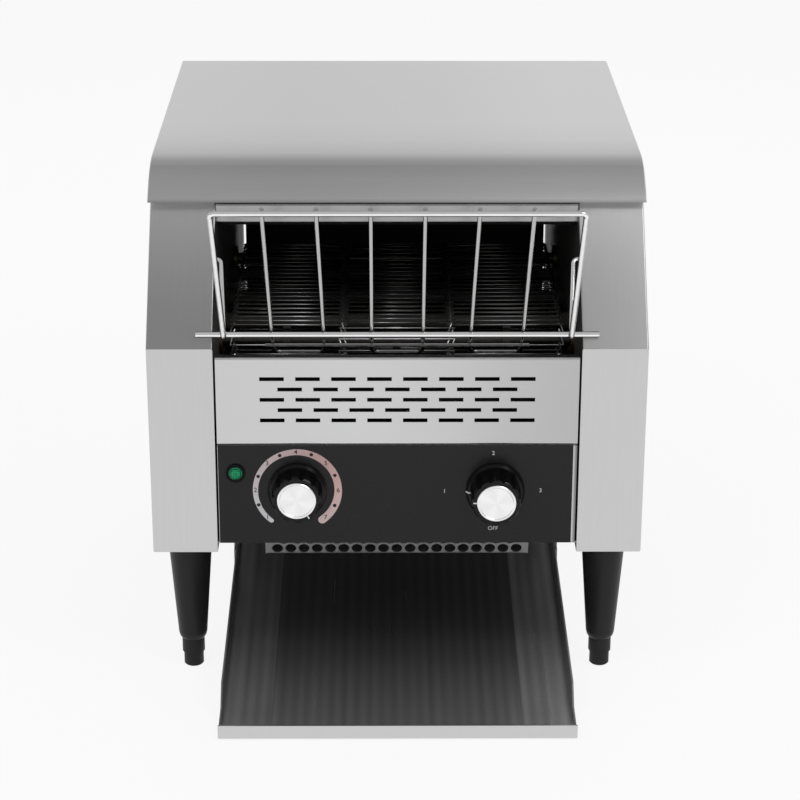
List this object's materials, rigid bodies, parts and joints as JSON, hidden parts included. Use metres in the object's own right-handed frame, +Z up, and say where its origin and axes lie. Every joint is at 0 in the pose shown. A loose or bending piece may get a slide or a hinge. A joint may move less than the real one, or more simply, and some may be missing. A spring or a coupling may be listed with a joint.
{
  "type": "conveyor toaster",
  "caption": "Countertop conveyor toaster: stainless housings and cover, wire feed rack, wire belt between quartz heaters, knob panel and a sliding toast tray on black feet.",
  "frame": {"origin": "centre of the footprint on the table, between the tray lip and the cord gland", "axes": "+X to the user's right, +Y from front to back, +Z up"},
  "size_m": [0.3716, 0.5254, 0.3911],
  "materials": {
    "stainless": "brushed stainless sheet",
    "inner_steel": "plain inner sheet steel",
    "grey_sheet": "grey perforated sheet",
    "panel_black": "satin black film",
    "rack_chrome": "bright wire",
    "belt_wire": "drawn stainless wire",
    "shaft_steel": "turned steel",
    "bush_bronze": "sintered bronze",
    "motor_housing": "zinc plated",
    "quartz": "frosted quartz tube",
    "ceramic": null,
    "black_plastic": "moulded black",
    "tip_plastic": "moulded black",
    "knob_black": "satin black",
    "knob_cap": "spun",
    "lamp_green": "clear green"
  },
  "bodies": {
    "housing": {"control_box": "inner_steel", "control_overlay": "panel_black", "control_panel": "stainless", "conveyor_belt": "belt_wire", "cord_gland": "black_plastic", "drive_chain": "shaft_steel", "fan_frame": "black_plastic", "foot_front_left": "black_plastic", "foot_front_right": "black_plastic", "foot_rear_left": "black_plastic", "foot_rear_right": "black_plastic", "front_panel": "stainless", "front_strip": "stainless", "gear_motor": "motor_housing", "heater_end_caps": "ceramic", "inner_wall_left": "inner_steel", "inner_wall_right": "inner_steel", "lamp_bezel": "black_plastic", "lamp_lens": "lamp_green", "lower_heaters": "quartz", "lower_reflector": "inner_steel", "rear_floor": "inner_steel", "rear_panel": "stainless", "rear_panel_screws": "shaft_steel", "selector_switch": "black_plastic", "shaft_bushes": "bush_bronze", "side_cover_left": "stainless", "side_cover_right": "stainless", "side_cover_screws": "shaft_steel", "speed_control": "black_plastic", "terminal_block": "black_plastic", "toast_chute": "inner_steel", "top_cover": "stainless", "tray_rail_left": "inner_steel", "tray_rail_right": "inner_steel", "upper_heaters": "quartz", "upper_reflector": "inner_steel", "vent_grille": "grey_sheet"},
    "drive": {"drive_shaft": "shaft_steel", "drive_wheels": "shaft_steel", "shaft_chain_wheel": "shaft_steel"},
    "idler": {"idler_shaft": "shaft_steel", "idler_wheels": "shaft_steel"},
    "motor_output": {"motor_output_shaft": "shaft_steel", "motor_chain_wheel": "shaft_steel"},
    "fan": {"fan_impeller": "black_plastic"},
    "speed_dial": {"speed_knob": "knob_black", "speed_knob_cap": "knob_cap", "speed_spindle": "shaft_steel"},
    "selector": {"selector_knob": "knob_black", "selector_knob_cap": "knob_cap", "selector_spindle": "shaft_steel"},
    "rack": {"rack_frame": "rack_chrome", "rack_rods": "rack_chrome"},
    "tray": {"toast_tray": "stainless"},
    "tip_front_left": {"foot_tip_front_left": "tip_plastic"},
    "tip_front_right": {"foot_tip_front_right": "tip_plastic"},
    "tip_rear_left": {"foot_tip_rear_left": "tip_plastic"},
    "tip_rear_right": {"foot_tip_rear_right": "tip_plastic"}
  },
  "joints": [
    {"name": "shaft_turn", "type": "hinge", "parent": "housing", "child": "drive", "pos_m": [0, -0.08665, 0.2499], "axis": [1, 0, 0], "continuous": true},
    {"name": "idler_turn", "type": "hinge", "parent": "housing", "child": "idler", "pos_m": [0, 0.11285, 0.2499], "axis": [1, 0, 0], "continuous": true},
    {"name": "motor_turn", "type": "hinge", "parent": "housing", "child": "motor_output", "pos_m": [0, -0.07425, 0.16232], "axis": [1, 0, 0], "continuous": true},
    {"name": "fan_turn", "type": "hinge", "parent": "housing", "child": "fan", "pos_m": [-0.048, -0.08875, 0.1234], "axis": [0, 0, 1], "continuous": true},
    {"name": "speed_dial_turn", "type": "hinge", "parent": "housing", "child": "speed_dial", "pos_m": [-0.0746, -0.16925, 0.1602], "axis": [0, 1, 0], "range_deg": [-285, 0]},
    {"name": "selector_turn", "type": "hinge", "parent": "housing", "child": "selector", "pos_m": [0.0732, -0.16925, 0.1602], "axis": [0, 1, 0], "range_deg": [-90, 180]},
    {"name": "rack_lift", "type": "hinge", "parent": "housing", "child": "rack", "pos_m": [0, -0.11925, 0.32497], "axis": [-1, 0, 0], "range_deg": [0, 60]},
    {"name": "tray_slide", "type": "slide", "parent": "housing", "child": "tray", "axis": [0, -1, 0], "range_m": [0, 0.145]},
    {"name": "foot_front_left_adjust", "type": "slide", "parent": "housing", "child": "tip_front_left", "axis": [0, 0, -1], "range_m": [0, 0.015]},
    {"name": "foot_front_right_adjust", "type": "slide", "parent": "housing", "child": "tip_front_right", "axis": [0, 0, -1], "range_m": [0, 0.015]},
    {"name": "foot_rear_left_adjust", "type": "slide", "parent": "housing", "child": "tip_rear_left", "axis": [0, 0, -1], "range_m": [0, 0.015]},
    {"name": "foot_rear_right_adjust", "type": "slide", "parent": "housing", "child": "tip_rear_right", "axis": [0, 0, -1], "range_m": [0, 0.015]}
  ],
  "couplings": [
    {"joint": "idler_turn", "follows": "shaft_turn", "ratio": 1},
    {"joint": "motor_turn", "follows": "shaft_turn", "ratio": 1}
  ]
}
